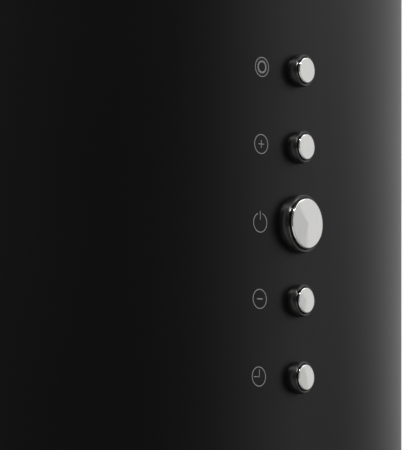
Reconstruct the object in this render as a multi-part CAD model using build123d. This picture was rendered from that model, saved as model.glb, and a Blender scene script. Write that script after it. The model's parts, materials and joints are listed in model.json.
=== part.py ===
from build123d import *

import os
from math import cos, radians, sin, sqrt

# A wall-hung chimney range hood with a round body, as the pieces that it is assembled from.
# Millimetres. X is to the right as the cook sees it, -Y faces the cook and +Z is up. The origin lies
# on the wall plane, on the centre line, level with the bottom rim.

# ---- outer body ----
HOOD_R = 185.0  # outside radius of the cover
FLAT_WIDTH = 136.0  # width of the flat back that lies on the wall
COVER_HEIGHT = 560.0
COVER_SHEET = 1.0
RIM_RETURN = 10.0  # how far the bottom edge is turned inwards
AXIS_TO_WALL = sqrt(HOOD_R**2 - (FLAT_WIDTH / 2) ** 2)
FRONT_Y = -AXIS_TO_WALL - HOOD_R

# ---- telescopic chimney ----
CHIMNEY_SHEET = 0.8
CHIMNEY_LENGTH = 350.0
CHIMNEY_OVERLAP = 90.0  # length that stands inside the cover
CHIMNEY_DROP = 140.0  # how much further it can slide down
SLEEVE_GAP = 0.8  # between the cover and the chimney inside it
CHIMNEY_R = HOOD_R - COVER_SHEET - SLEEVE_GAP
CHIMNEY_BACK = COVER_SHEET + SLEEVE_GAP  # from the wall to the chimney's back edges
CHIMNEY_Z = COVER_HEIGHT - CHIMNEY_OVERLAP
CHIMNEY_TOP = CHIMNEY_Z + CHIMNEY_LENGTH
VENT_COUNT = 5
VENT_LENGTH = 70.0
VENT_HEIGHT = 4.0
VENT_PITCH = 9.0
VENT_TOP_MARGIN = 30.0

# ---- chimney wall bracket ----
TOP_BRACKET_HEIGHT = 40.0
TOP_BRACKET_MARGIN = 8.0  # below the chimney's top edge
TOP_BRACKET_SIDE = 4.0  # from the bracket's end to the edge of the flat
TOP_BRACKET_HOLE_X = 30.0
TOP_BRACKET_HOLE_R = 3.0
CHIMNEY_SCREW_R = 2.0
CHIMNEY_SCREW_HEAD_R = 3.6
CHIMNEY_SCREW_HEAD = 2.2
SCREW_CLEARANCE = 0.1
SCREW_SHORT = 0.2  # from the screw's end to the wall

# ---- backbone and wall bracket ----
CHANNEL_HALF = 48.0
CHANNEL_DEPTH = 12.0
CHANNEL_SHEET = 2.0
CHANNEL_TOP_MARGIN = 20.0
HOOK_TO_EDGE = 10.0  # from the hook's end to the bracket's edge
HOOK_BELOW_TOP = 40.0  # hook shelf below the cover's top edge
HOOK_LIP = 12.0
HOOK_PLAY = 1.0
BRACKET_TO_CHANNEL = 6.0  # from the bracket's edge to the channel's side
BRACKET_HEIGHT = 80.0
BRACKET_SHEET = 2.0
BRACKET_HOLE_TO_EDGE = 12.0
BRACKET_HOLE_Z = 25.0
BRACKET_HOLE_R = 4.0
FOOT_HEIGHT = 44.0  # plate across the channel's lower end, flat on the wall
FOOT_WINDOW_Z = 16.0
FOOT_WINDOW_TO_SIDE = 8.0  # from the access window to the channel's side
LOW_HOLE_Z = 30.0
LOW_HOLE_X = 25.0
LOW_HOLE_R = 3.0
CLIP_SHEET = 1.5
CLIP_HEIGHT = 20.0
CLIP_LEG = 14.0
CLIP_SETBACK = 2.0  # from the clip's edge to the channel's web
CLIP_LOW_Z = 60.0
CLIP_BELOW_CHIMNEY = 30.0
SEAM_TO_CHANNEL = 2.0  # from the channel to each back edge of the rolled sheet
SEAM_HALF = CHANNEL_HALF + SEAM_TO_CHANNEL
BRACKET_HALF = CHANNEL_HALF - CHANNEL_SHEET - BRACKET_TO_CHANNEL
BRACKET_HOLE_X = BRACKET_HALF - BRACKET_HOLE_TO_EDGE
HOOK_HALF = BRACKET_HALF - HOOK_TO_EDGE
FOOT_WINDOW_HALF = CHANNEL_HALF - CHANNEL_SHEET - FOOT_WINDOW_TO_SIDE
CHIMNEY_SCREW_X = (SEAM_HALF + FLAT_WIDTH / 2) / 2

# ---- base plate ----
BASE_Z = 12.0  # underside of the plate above the rim
BASE_SHEET = 1.2
BASE_GAP = 0.4  # between the plate's skirt and the cover
BASE_LIP = 8.0  # turned-up collar round the filter opening
NOTCH_PLAY = 0.8
BASE_R = HOOD_R - COVER_SHEET - BASE_GAP
BASE_INNER_R = BASE_R - BASE_SHEET
BASE_TOP = BASE_Z + BASE_SHEET

# ---- lamps ----
LAMP_AZIMUTH = 50.0  # to each side of the front
LAMP_FLANGE_R = 23.0
LAMP_BODY_R = 20.0
LAMP_WALL = 1.5
LAMP_FLANGE = 1.6
LAMP_DEPTH = 14.0
LAMP_EDGE = 0.8
LAMP_MARGIN = 9.0  # from the skirt to the lamp's flange
LENS_SHEET = 1.5
LENS_LEDGE = 1.5
LENS_PLAY = 0.2
HEATSINK_BASE = 2.0
HEATSINK_FIN = 10.0
HEATSINK_FIN_SHEET = 1.5
HEATSINK_FINS = 7
HEATSINK_MARGIN = 2.0  # from the rim to the outer fins
HEATSINK_FIN_END = 0.2
LAMP_RADIUS = BASE_INNER_R - LAMP_MARGIN - LAMP_FLANGE_R

# ---- grease filter ----
FILTER_TO_LAMP = 5.0
FILTER_THICK = 9.0
FILTER_SHEET = 1.0
FILTER_EDGE = 0.8
FILTER_DROP = 0.8  # below the base plate
FILTER_FLANGE = 12.0
FILTER_SEAT = 14.0  # how far the filter reaches past its opening
MESH_PITCH = 19.0
MESH_DIAMOND = 7.4  # half diagonal of each opening in the mesh
MESH_GAP = 0.1
FILTER_R = LAMP_RADIUS - LAMP_FLANGE_R - FILTER_TO_LAMP
FILTER_TOP = BASE_Z - FILTER_DROP
FILTER_BOTTOM = FILTER_TOP - FILTER_THICK
FILTER_HOLE_R = FILTER_R - FILTER_SEAT
CUP_LENGTH = 62.0
CUP_WIDTH = 26.0
CUP_WALL = 2.0
CUP_CORNER = 6.0
CUP_TO_EDGE = 16.0
GRIP_WIDTH = 8.0
GRIP_THICK = 1.5
HINGE_X = 45.0
HINGE_OUT = 5.0  # hinge axis behind the filter's edge
KNUCKLE_R = 3.5
KNUCKLE_LENGTH = 12.0
HINGE_PIN_R = 1.5
HINGE_RUNNING = 0.06
EAR_SHEET = 2.2
EAR_SIDE_GAP = 0.3
EAR_R = 4.2
HINGE_LEAF = 3.0
HINGE_Y = -AXIS_TO_WALL + FILTER_R + HINGE_OUT
HINGE_Z = FILTER_TOP - FILTER_THICK / 2
MAGNET_AZIMUTH = 15.0
MAGNET_R = 4.0
MAGNET_LENGTH = 5.0
MAGNET_FLANGE_R = 6.0
MAGNET_FLANGE = 1.0
KEEPER_R = 5.0
KEEPER_THICK = 0.5
MAGNET_RADIUS = FILTER_R - FILTER_FLANGE / 2

# ---- deck and struts ----
DECK_Z = 300.0
DECK_SHEET = 1.5
DECK_TO_COVER = 9.0
DECK_TAB = 20.0
DECK_TAB_HALF = 40.0
STRUT_WIDTH = 24.0
STRUT_SHEET = 2.0
STRUT_FOOT = 14.0
STRUT_INSET = 5.0
DECK_R = HOOD_R - DECK_TO_COVER
DECK_TOP = DECK_Z + DECK_SHEET

# ---- blower: scroll, fan wheel and motor, all on one axis along X ----
SCROLL_WALL = 2.0
SCROLL_STEP = 14.0  # side of the square that carries the four spiral centres
SCROLL_TO_WHEEL = 23.0  # from the wheel to the scroll at its narrowest
TONGUE_ANGLE = 50.0
INLET_STEP = 2.0  # the inlet is this much wider than the blades' inner edge, all round
INLET_LIP = 8.0
INLET_EDGE = 4.0  # bevel at the inlet's mouth
INLET_TO_WHEEL = 4.5
INLET_BITE = 1.0  # how far the inlet's mouth runs into the side plate
SCROLL_BOTTOM_Z = 49.0
WHEEL_R = 75.0
WHEEL_HALF = 45.0
WHEEL_RING = 2.5
WHEEL_RING_WIDTH = 9.0
WHEEL_DISC = 2.0
DISC_TO_RIM = 5.0
WHEEL_HUB_R = 12.0
WHEEL_HUB = 16.0
BLADE_COUNT = 32
BLADE_DEPTH = 13.0  # from the wheel's rim in to the blades' inner edge
BLADE_CURVE_R = 12.0
BLADE_SHEET = 1.0
BLADE_SLOT_FIT = 0.15  # gap on each side of a blade in the centre disc's slot
BLADE_SWEEP = 85.0
SHAFT_R = 4.0
SHAFT_FIT = 0.02
SHAFT_RUNNING = 0.06
SHAFT_INSET = 1.0  # from the rear bearing's face to the shaft's end
MOTOR_R = 43.0
MOTOR_BACK_GAP = 10.0  # from the motor's back to the scroll's outside
MOTOR_FRONT_X = -6.0
MOTOR_REAR_BOSS_R = 16.0
MOTOR_FRONT_BOSS_R = 13.0
MOTOR_FRONT_BOSS = 3.0
MOTOR_EDGE = 5.0
BEARING_R = 11.0
BEARING_WIDTH = 7.0
GROMMET_R = 6.0
GROMMET_HEIGHT = 3.0
BRACKET_ARMS = 3
BRACKET_ARM_WIDTH = 12.0
BRACKET_ARM_SHEET = 3.0
BRACKET_HUB_R = 22.0
BLADE_IN_R = WHEEL_R - BLADE_DEPTH
INLET_R = BLADE_IN_R + INLET_STEP
SCROLL_START_R = WHEEL_R + SCROLL_TO_WHEEL
SCROLL_HALF = WHEEL_HALF + WHEEL_RING + INLET_TO_WHEEL + INLET_LIP
MOTOR_BACK_X = MOTOR_BACK_GAP - SCROLL_HALF
BRACKET_BOLT_R = INLET_R + INLET_LIP
BRACKET_ARM_R = BRACKET_BOLT_R + GROMMET_R
SPIRAL_LEFT = SCROLL_STEP / 2 + SCROLL_START_R
SPIRAL_RIGHT = SCROLL_STEP / 2 + SCROLL_START_R + 2 * SCROLL_STEP
SPIRAL_BELOW = SCROLL_START_R + 1.5 * SCROLL_STEP
FAN_Y = -AXIS_TO_WALL - (SPIRAL_RIGHT - SPIRAL_LEFT) / 2
FAN_Z = SCROLL_BOTTOM_Z + SCROLL_WALL + SPIRAL_BELOW
TONGUE_R = SCROLL_START_R - SCROLL_STEP
TONGUE_Y = -SCROLL_STEP / 2 + TONGUE_R * cos(radians(TONGUE_ANGLE))
TONGUE_Z = SCROLL_STEP / 2 + TONGUE_R * sin(radians(TONGUE_ANGLE))
OUTLET_Y = FAN_Y + (TONGUE_Y + SPIRAL_RIGHT) / 2
OUTLET_DEPTH = SPIRAL_RIGHT - TONGUE_Y
OUTLET_WIDTH = 2 * (SCROLL_HALF - SCROLL_WALL)

# ---- outlet collar and its non-return flaps ----
SPIGOT_R = 75.0
SPIGOT_WALL = 1.5
SPIGOT_LENGTH = 46.0
ADAPTOR_HEIGHT = 44.0
ADAPTOR_FLANGE = 8.0
DUCT_CORNER = 6.0
SPIGOT_Y = -AXIS_TO_WALL + 44.0
SEAT_WIDTH = 3.5
SEAT_HEIGHT = 2.0
SEAT_RISE = 2.0  # from the spigot's foot to the seat
SEAT_BITE = 0.5  # how far the seat runs into the spigot's wall
FLAP_SHEET = 1.5
FLAP_REST_GAP = 0.2
FLAP_EDGE_GAP = 1.0
FLAP_AXIS_ABOVE = 1.8  # hinge axis above the flap's underside
FLAP_PIN_R = 1.5
FLAP_RUNNING = 0.08
FLAP_PIN_INSET = 0.4  # from the pin's end to the spigot's outside
FLAP_KNUCKLE_R = 2.8
FLAP_KNUCKLE = 16.0
FLAP_KNUCKLE_GAP = 1.0
FLAP_ROOT = 3.6  # from the hinge axis to the flap's straight edge
SPIGOT_Z = DECK_TOP + ADAPTOR_HEIGHT
SEAT_Z = SPIGOT_Z + SEAT_RISE
FLAP_Z = SEAT_Z + SEAT_HEIGHT + FLAP_REST_GAP
FLAP_AXIS_Z = FLAP_Z + FLAP_AXIS_ABOVE
FLAP_R = SPIGOT_R - SPIGOT_WALL - FLAP_EDGE_GAP

# ---- electrics ----
BOX_LENGTH = 110.0
BOX_WIDTH = 64.0
BOX_HEIGHT = 50.0
BOX_SHEET = 1.2
BOX_TO_SCROLL = 10.0
LID_RIM = 4.0
LID_PLAY = 0.2
BOX_X = SCROLL_HALF + BOX_TO_SCROLL + BOX_WIDTH / 2
BOARD_SHEET = 1.6
POWER_BOARD_MARGIN = 4.0
POWER_BOARD_DROP = 8.0
BOARD_POST_R = 2.5
BOARD_POST_INSET = 5.0
POWER_COMPONENTS = (  # each one's width, length and height, and its middle on the board
    ((28.0, 32.0, 22.0), (-2.0, -24.0)),  # transformer
    ((14.0, 18.0, 15.0), (-13.0, 15.0)),  # relays
    ((14.0, 18.0, 15.0), (7.0, 15.0)),
    ((40.0, 12.0, 14.0), (0.0, 38.0)),  # terminal block
)
CAPACITOR_R = 17.0
CAPACITOR_LENGTH = 60.0
CAPACITOR_EDGE = 2.0
CAPACITOR_X = -100.0
CAPACITOR_STUD_R = 4.0
CAPACITOR_STUD = 3.0
GLAND_X = -88.0
GLAND_Y = -42.0
GLAND_R = 10.0
GLAND_HEX = 26.0
GLAND_HEAD = 7.0
GLAND_NUT = 5.0
GLAND_DOME = 5.0
GLAND_TAPER = 1.5
GLAND_THREAD = 3.0  # below the nut
GLAND_BORE_R = 4.5
GLAND_CLEARANCE = 0.2

# ---- controls: depths are measured inwards from the cover's outside ----
CONTROLS_Z = 200.0  # centre of the power button
BUTTON_PITCH = 26.5
BUTTON_NAMES = ["timer", "minus", "power", "plus", "light"]
POWER_INDEX = 2
CAP_FACE_R = 4.12
POWER_FACE_R = 8.4
CAP_ROUND = 0.32
CAP_RISE = 0.04  # the face is a shallow cone, this much higher at its middle
POWER_RISE = 0.2
BUTTON_TRAVEL = 1.2
CAP_OUT = 4.0  # the cap face's edge in front of the cover
POWER_OUT = 4.7
CAP_WALL = 0.8
CAP_TOP = 1.2
CAP_GAP = 0.15  # running gap round the cap
COLLAR_WALL = 0.68
POWER_COLLAR_WALL = 0.88
COLLAR_OUT = 3.4
COLLAR_FLARE = 0.5  # the collar's side curves in by this much from its base to its front
COLLAR_EDGE = 0.2
COLLAR_BELOW = 1.0  # the flange's depth before the cover's curve is cut out of it
COLLAR_STEP = 0.2
FLOOR_PLAY = 0.2
COLLAR_DEPTH = 10.6
COLLAR_PLAY = 0.1
SEAT_GAP = 0.03
CAP_SKIRT = 0.6
STEM_R = 2.0
STEM_RUNNING = 0.08
STEM_HEAD_FIT = 0.03
STEM_STOP_R = 3.4
STEM_STOP = 1.0
STEM_STOP_GAP = 0.3
STEM_TAIL_R = 1.2
SWITCH_PLAY = 0.05  # between a pressed stem and its switch
SPRING_R = 3.3
SPRING_WIRE = 0.6
HOLDER_GAP = 0.9
HOLDER_SHEET = 2.0
HOLDER_WIDTH = 30.0
HOLDER_MARGIN = 18.0
HOLDER_CORNER = 4.0
HOLDER_POST_R = 2.5
HOLDER_POST_X = 10.0
HOLDER_POST_Z = 13.0
BOARD_INSET = 1.0  # the control board is this much smaller than the holder all round
CONNECTOR = (16.0, 8.0, 6.0)
CONNECTOR_TO_EDGE = 8.0
NUT_WALL = 3.0
NUT_HEIGHT = 2.0
SWITCH_SIDE = 10.0
SWITCH_BODY = 4.4
SWITCH_DEPTH = 18.0
SWITCH_NUB_R = 1.5
SWITCH_NUB = 1.75
SWITCH_BACK = SWITCH_DEPTH + SWITCH_BODY
COLLAR_FLOOR = CAP_SKIRT + BUTTON_TRAVEL + FLOOR_PLAY
STEM_END = SWITCH_DEPTH - SWITCH_NUB - SWITCH_PLAY - BUTTON_TRAVEL
STEM_STOP_DEPTH = COLLAR_DEPTH + STEM_STOP_GAP
HOLDER_BACK = COVER_SHEET + HOLDER_GAP + HOLDER_SHEET

FAR = 1000.0  # longer than anything in the part
DRILL = 5.0  # how far a hole's cutter reaches to each side of its sheet
OVERCUT = 1.0  # how far a square cutter runs past the face that it opens


# ---- helpers ----
def front(z):
    """The plane on the cover's front at height z: its own Z points at the cook."""
    return Plane(origin=(0, FRONT_Y, z), x_dir=(1, 0, 0), z_dir=(0, -1, 0))


def fan_plane(x=0.0):
    """The plane across the fan axis: its X is the hood's Y, its Y is up and its Z is the hood's X."""
    return Plane(origin=(x, FAN_Y, FAN_Z), x_dir=(0, 1, 0), z_dir=(1, 0, 0))


def turned(points, bevels=()):
    """A solid of revolution about Z from (radius, height) points; bevels are (point number, size)."""
    face = make_face(Polyline(*points, close=True))
    for number, size in bevels:
        face = chamfer(corner_at(face, points[number]), size)
    return revolve(Plane.XZ * face, Axis.Z)


def corner_at(face, point):
    """The corner of a flat face that lies nearest to a point."""
    at = Vector(*point)
    return min(face.vertices(), key=lambda v: (Vector(v.X, v.Y) - at).length)


def disc(radius, low, high):
    """A round solid on the Z axis from one height to another."""
    return Pos(0, 0, low) * extrude(Circle(radius), high - low)


def drill(radius):
    """A cutter for a hole through a sheet that lies on or near the XY plane."""
    return disc(radius, -DRILL, DRILL)


def ring(outer, inner, low, high):
    return Pos(0, 0, low) * extrude(Circle(outer) - Circle(inner), high - low)


def block(x, y, z):
    """A box given by its (low, high) in each direction."""
    middle = Pos((x[0] + x[1]) / 2, (y[0] + y[1]) / 2, (z[0] + z[1]) / 2)
    return middle * Box(x[1] - x[0], y[1] - y[0], z[1] - z[0])


def d_face(radius, wall_gap):
    """The hood's plan outline: a circle cut flat a set distance in front of the wall."""
    clear = Pos(0, -wall_gap - FAR / 2) * Rectangle(FAR, FAR)
    return (Pos(0, -AXIS_TO_WALL) * Circle(radius)) & clear


def d_ring(radius, sheet, wall_gap):
    return d_face(radius, wall_gap) - d_face(radius - sheet, wall_gap + sheet)


def at_azimuth(radius, degrees):
    """A place on the base plate, by its radius and its angle from the front."""
    angle = radians(degrees)
    return Pos(radius * sin(angle), -AXIS_TO_WALL - radius * cos(angle), 0)


def group(solids):
    return Compound(children=[Part(s.wrapped) for item in solids for s in item.solids()])


# ---- outer body ----
def back_seam(height):
    depth = CHIMNEY_BACK + RIM_RETURN + COVER_SHEET
    return block((-SEAM_HALF, SEAM_HALF), (-depth, OVERCUT), (-OVERCUT, height + OVERCUT))


def outer_cover():
    wall = extrude(d_ring(HOOD_R, COVER_SHEET, 0), COVER_HEIGHT)
    rim = extrude(d_ring(HOOD_R, COVER_SHEET + RIM_RETURN, 0), COVER_SHEET)
    shell = wall + rim - back_seam(COVER_HEIGHT)
    for number in range(len(BUTTON_NAMES)):
        shell -= button_plane(number) * drill(barrel_r(number) + COLLAR_PLAY)
    return shell


def upper_chimney():
    tube = extrude(d_ring(CHIMNEY_R, CHIMNEY_SHEET, CHIMNEY_BACK), CHIMNEY_LENGTH)
    shell = Pos(0, 0, CHIMNEY_Z) * tube
    shell -= Pos(0, 0, CHIMNEY_Z) * back_seam(CHIMNEY_LENGTH)
    for side in (-1, 1):
        for row in range(VENT_COUNT):
            z = CHIMNEY_TOP - VENT_TOP_MARGIN - row * VENT_PITCH
            slot = extrude(SlotOverall(VENT_LENGTH, VENT_HEIGHT), VENT_LENGTH / 2, both=True)
            side_plane = Plane(
                origin=(side * CHIMNEY_R, -AXIS_TO_WALL, z), x_dir=(0, 1, 0), z_dir=(1, 0, 0)
            )
            shell -= side_plane * slot
        shell -= chimney_screw_place(side) * drill(CHIMNEY_SCREW_R + SCREW_CLEARANCE)
    return shell


def chimney_screw_place(side):
    """Where a screw goes through the chimney's back edge: local Z points at the cook."""
    x = side * CHIMNEY_SCREW_X
    z = CHIMNEY_TOP - TOP_BRACKET_MARGIN - TOP_BRACKET_HEIGHT / 2
    return Plane(origin=(x, -CHIMNEY_BACK - CHIMNEY_SHEET, z), x_dir=(1, 0, 0), z_dir=(0, -1, 0))


def chimney_bracket():
    top = CHIMNEY_TOP - TOP_BRACKET_MARGIN
    half = FLAT_WIDTH / 2 - TOP_BRACKET_SIDE
    plate = block((-half, half), (-CHIMNEY_BACK, 0), (top - TOP_BRACKET_HEIGHT, top))
    middle = top - TOP_BRACKET_HEIGHT / 2
    for side in (-1, 1):
        wall_hole = Plane(origin=(side * TOP_BRACKET_HOLE_X, 0, middle), z_dir=(0, 1, 0))
        plate -= wall_hole * drill(TOP_BRACKET_HOLE_R)
        plate -= chimney_screw_place(side) * drill(CHIMNEY_SCREW_R + SCREW_CLEARANCE)
    return plate


def chimney_screws():
    shank = CHIMNEY_SHEET + CHIMNEY_BACK - SCREW_SHORT
    screw = disc(CHIMNEY_SCREW_R, -shank, 0) + disc(CHIMNEY_SCREW_HEAD_R, 0, CHIMNEY_SCREW_HEAD)
    return group([chimney_screw_place(side) * screw for side in (-1, 1)])


# ---- backbone, wall bracket and clips ----
def hook_z():
    return COVER_HEIGHT - HOOK_BELOW_TOP


def back_channel():
    top = COVER_HEIGHT - CHANNEL_TOP_MARGIN
    inside = CHANNEL_HALF - CHANNEL_SHEET
    channel = block((-CHANNEL_HALF, CHANNEL_HALF), (-CHANNEL_DEPTH, 0), (0, top))
    web = -CHANNEL_DEPTH + CHANNEL_SHEET
    channel -= block((-inside, inside), (web, OVERCUT), (-OVERCUT, top + OVERCUT))
    channel += block((-inside, inside), (-CHANNEL_SHEET, 0), (0, FOOT_HEIGHT))
    through_web = (-CHANNEL_DEPTH - OVERCUT, web + OVERCUT)
    window = HOOK_HALF + HOOK_PLAY
    channel -= block((-window, window), through_web, (hook_z() - HOOK_LIP, hook_z()))
    access = (-FOOT_WINDOW_HALF, FOOT_WINDOW_HALF)
    channel -= block(access, through_web, (FOOT_WINDOW_Z, FOOT_HEIGHT))
    for side in (-1, 1):
        hole = Plane(origin=(side * LOW_HOLE_X, 0, LOW_HOLE_Z), z_dir=(0, 1, 0))
        channel -= hole * drill(LOW_HOLE_R)
    return channel


def wall_bracket():
    top = hook_z()
    lip_y = -CHANNEL_DEPTH - HOOK_PLAY
    plate = block((-BRACKET_HALF, BRACKET_HALF), (-BRACKET_SHEET, 0), (top - BRACKET_HEIGHT, top))
    shelf_y = (lip_y - BRACKET_SHEET, -BRACKET_SHEET)
    shelf = block((-HOOK_HALF, HOOK_HALF), shelf_y, (top - BRACKET_SHEET, top))
    lip = block((-HOOK_HALF, HOOK_HALF), (lip_y - BRACKET_SHEET, lip_y), (top, top + HOOK_LIP))
    bracket = plate + shelf + lip
    middle = top - BRACKET_HEIGHT / 2
    for x in (-BRACKET_HOLE_X, BRACKET_HOLE_X):
        for z in (middle - BRACKET_HOLE_Z, middle + BRACKET_HOLE_Z):
            bracket -= Plane(origin=(x, 0, z), z_dir=(0, 1, 0)) * drill(BRACKET_HOLE_R)
    return bracket


def cover_clips():
    """Angles that join the cover's back edges to the channel."""
    clips = []
    high = CHIMNEY_Z - CHIMNEY_DROP - CLIP_BELOW_CHIMNEY
    for z in (CLIP_LOW_Z, high):
        span = (z - CLIP_HEIGHT / 2, z + CLIP_HEIGHT / 2)
        flat = block(
            (CHANNEL_HALF, CHANNEL_HALF + CLIP_LEG), (-COVER_SHEET - CLIP_SHEET, -COVER_SHEET), span
        )
        side = block(
            (CHANNEL_HALF, CHANNEL_HALF + CLIP_SHEET), (-CHANNEL_DEPTH + CLIP_SETBACK, -COVER_SHEET), span
        )
        clip = flat + side
        clips += [clip, mirror(clip, Plane.YZ)]
    return group(clips)


# ---- base plate ----
def base_plate():
    plate = extrude(d_face(BASE_R, COVER_SHEET + BASE_GAP), BASE_SHEET)
    plate = Pos(0, 0, BASE_Z) * plate
    skirt_height = BASE_TOP - COVER_SHEET
    skirt = extrude(d_ring(BASE_R, BASE_SHEET, COVER_SHEET + BASE_GAP), skirt_height)
    axis = Pos(0, -AXIS_TO_WALL, 0)
    lip = axis * ring(FILTER_HOLE_R + BASE_SHEET, FILTER_HOLE_R, BASE_Z, BASE_Z + BASE_LIP)
    plate = plate + Pos(0, 0, COVER_SHEET) * skirt + lip
    plate -= axis * disc(FILTER_HOLE_R, 0, BASE_Z + BASE_LIP)
    for side in (-1, 1):
        lamp_hole = disc(LAMP_BODY_R + COLLAR_PLAY, 0, BASE_TOP + 1)
        plate -= at_azimuth(LAMP_RADIUS, side * LAMP_AZIMUTH) * lamp_hole
        magnet_hole = disc(MAGNET_R + COLLAR_PLAY, 0, BASE_TOP + 1)
        plate -= at_azimuth(MAGNET_RADIUS, side * MAGNET_AZIMUTH) * magnet_hole
    notch = CHANNEL_HALF + NOTCH_PLAY
    plate -= block((-notch, notch), (-CHANNEL_DEPTH - NOTCH_PLAY, OVERCUT), (0, BASE_TOP + OVERCUT))
    return plate


def catch_magnets():
    body = disc(MAGNET_R, BASE_Z, BASE_Z + MAGNET_LENGTH)
    head = disc(MAGNET_FLANGE_R, BASE_TOP, BASE_TOP + MAGNET_FLANGE)
    places = [at_azimuth(MAGNET_RADIUS, side * MAGNET_AZIMUTH) for side in (-1, 1)]
    return group([place * (body + head) for place in places])


def hinge_brackets():
    """Two saddles under the base plate, each with an ear at both ends of a knuckle."""
    inner = KNUCKLE_LENGTH / 2 + EAR_SIDE_GAP
    saddle_z = HINGE_Z + KNUCKLE_R + EAR_SIDE_GAP
    ear_face = Pos(0, HINGE_Z) * Circle(EAR_R)
    ear_face += Pos(0, (HINGE_Z + BASE_Z) / 2) * Rectangle(2 * EAR_R, BASE_Z - HINGE_Z)
    ear_face -= Pos(0, HINGE_Z) * Circle(HINGE_PIN_R + SHAFT_FIT)
    brackets = []
    for side in (-1, 1):
        middle = side * HINGE_X
        saddle = block(
            (middle - inner, middle + inner), (HINGE_Y - EAR_R, HINGE_Y + EAR_R), (saddle_z, BASE_Z)
        )
        for x in (middle - inner - EAR_SHEET, middle + inner):
            plane = Plane(origin=(x, HINGE_Y, 0), x_dir=(0, 1, 0), z_dir=(1, 0, 0))
            saddle += plane * extrude(ear_face, EAR_SHEET)
        brackets.append(saddle)
    return group(brackets)


def hinge_pins():
    half = KNUCKLE_LENGTH / 2 + EAR_SIDE_GAP + EAR_SHEET
    pins = []
    for side in (-1, 1):
        plane = Plane(origin=(side * HINGE_X, HINGE_Y, HINGE_Z), z_dir=(1, 0, 0))
        pins.append(plane * disc(HINGE_PIN_R, -half, half))
    return group(pins)


# ---- lamps ----
def lamp_place(side):
    return at_azimuth(LAMP_RADIUS, side * LAMP_AZIMUTH) * Pos(0, 0, BASE_Z)


def lamp_bezel():
    inner = LAMP_BODY_R - LAMP_WALL
    lip = inner - LENS_LEDGE
    points = [
        (lip, -LAMP_FLANGE),
        (LAMP_FLANGE_R, -LAMP_FLANGE),
        (LAMP_FLANGE_R, 0),
        (LAMP_BODY_R, 0),
        (LAMP_BODY_R, LAMP_DEPTH),
        (inner, LAMP_DEPTH),
        (inner, -LAMP_FLANGE / 4),
        (lip, -LAMP_FLANGE / 4),
    ]
    return turned(points, [(1, LAMP_EDGE)])


def lamp_lens():
    low = -LAMP_FLANGE / 4
    return disc(LAMP_BODY_R - LAMP_WALL - LENS_PLAY, low, low + LENS_SHEET)


def lamp_heatsink():
    radius = LAMP_BODY_R
    fin_z = LAMP_DEPTH + HEATSINK_BASE
    sink = disc(radius, LAMP_DEPTH, fin_z)
    pitch = 2 * (radius - HEATSINK_MARGIN) / HEATSINK_FINS
    for number in range(HEATSINK_FINS):
        x = (number - (HEATSINK_FINS - 1) / 2) * pitch
        half = sqrt(radius**2 - (abs(x) + HEATSINK_FIN_SHEET / 2) ** 2) - HEATSINK_FIN_END
        fin_x = (x - HEATSINK_FIN_SHEET / 2, x + HEATSINK_FIN_SHEET / 2)
        sink += block(fin_x, (-half, half), (fin_z, fin_z + HEATSINK_FIN))
    return sink


# ---- grease filter ----
def cup_place():
    return Pos(0, -AXIS_TO_WALL - FILTER_R + CUP_TO_EDGE + CUP_WIDTH / 2, FILTER_BOTTOM)


def filter_frame():
    bottom = FILTER_BOTTOM
    top = FILTER_TOP
    inner = FILTER_R - FILTER_FLANGE
    points = [
        (inner, bottom),
        (FILTER_R, bottom),
        (FILTER_R, top),
        (inner, top),
        (inner, top - FILTER_SHEET),
        (FILTER_R - FILTER_SHEET, top - FILTER_SHEET),
        (FILTER_R - FILTER_SHEET, bottom + FILTER_SHEET),
        (inner, bottom + FILTER_SHEET),
    ]
    frame = Pos(0, -AXIS_TO_WALL, 0) * turned(points, [(1, FILTER_EDGE), (2, FILTER_EDGE)])
    bore = HINGE_PIN_R + HINGE_RUNNING
    for side in (-1, 1):
        middle = side * HINGE_X
        span = (middle - KNUCKLE_LENGTH / 2, middle + KNUCKLE_LENGTH / 2)
        edge_x = HINGE_X - KNUCKLE_LENGTH / 2
        edge_y = -AXIS_TO_WALL + sqrt(FILTER_R**2 - edge_x**2) - FILTER_SHEET
        leaf_z = (HINGE_Z - HINGE_LEAF / 2, HINGE_Z + HINGE_LEAF / 2)
        leaf = block(span, (edge_y - KNUCKLE_R, HINGE_Y), leaf_z)
        leaf -= Pos(0, -AXIS_TO_WALL, 0) * disc(FILTER_R - FILTER_SHEET / 2, 0, FILTER_TOP)
        plane = Plane(origin=(middle, HINGE_Y, HINGE_Z), z_dir=(1, 0, 0))
        half = KNUCKLE_LENGTH / 2
        frame += leaf + plane * disc(KNUCKLE_R, -half, half)
        frame -= plane * disc(bore, -half, half)
    return frame


def filter_mesh():
    low = FILTER_BOTTOM + FILTER_SHEET + MESH_GAP
    high = FILTER_TOP - FILTER_SHEET - MESH_GAP
    radius = FILTER_R - FILTER_SHEET - 2 * MESH_GAP
    open_r = FILTER_R - FILTER_FLANGE - MESH_DIAMOND
    rows = int(open_r / (MESH_PITCH / 2)) + 1
    cup_y = cup_place().position.Y + AXIS_TO_WALL
    diamonds = []
    for row in range(-rows, rows + 1):
        shift = MESH_PITCH / 2 if row % 2 else 0
        columns = int(open_r / MESH_PITCH) + 2
        for column in range(-columns, columns + 1):
            x = column * MESH_PITCH + shift
            y = row * MESH_PITCH / 2
            near_cup = abs(x) < CUP_LENGTH / 2 + MESH_DIAMOND and (
                abs(y - cup_y) < CUP_WIDTH / 2 + MESH_DIAMOND
            )
            if x**2 + y**2 < open_r**2 and not near_cup:
                diamonds.append(Pos(x, y) * RegularPolygon(MESH_DIAMOND, 4))
    holes = Sketch() + diamonds
    sheet = Circle(radius) - holes
    sheet -= Pos(0, cup_y) * RectangleRounded(CUP_LENGTH, CUP_WIDTH, CUP_CORNER)
    return Pos(0, -AXIS_TO_WALL, low) * extrude(sheet, high - low)


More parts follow.
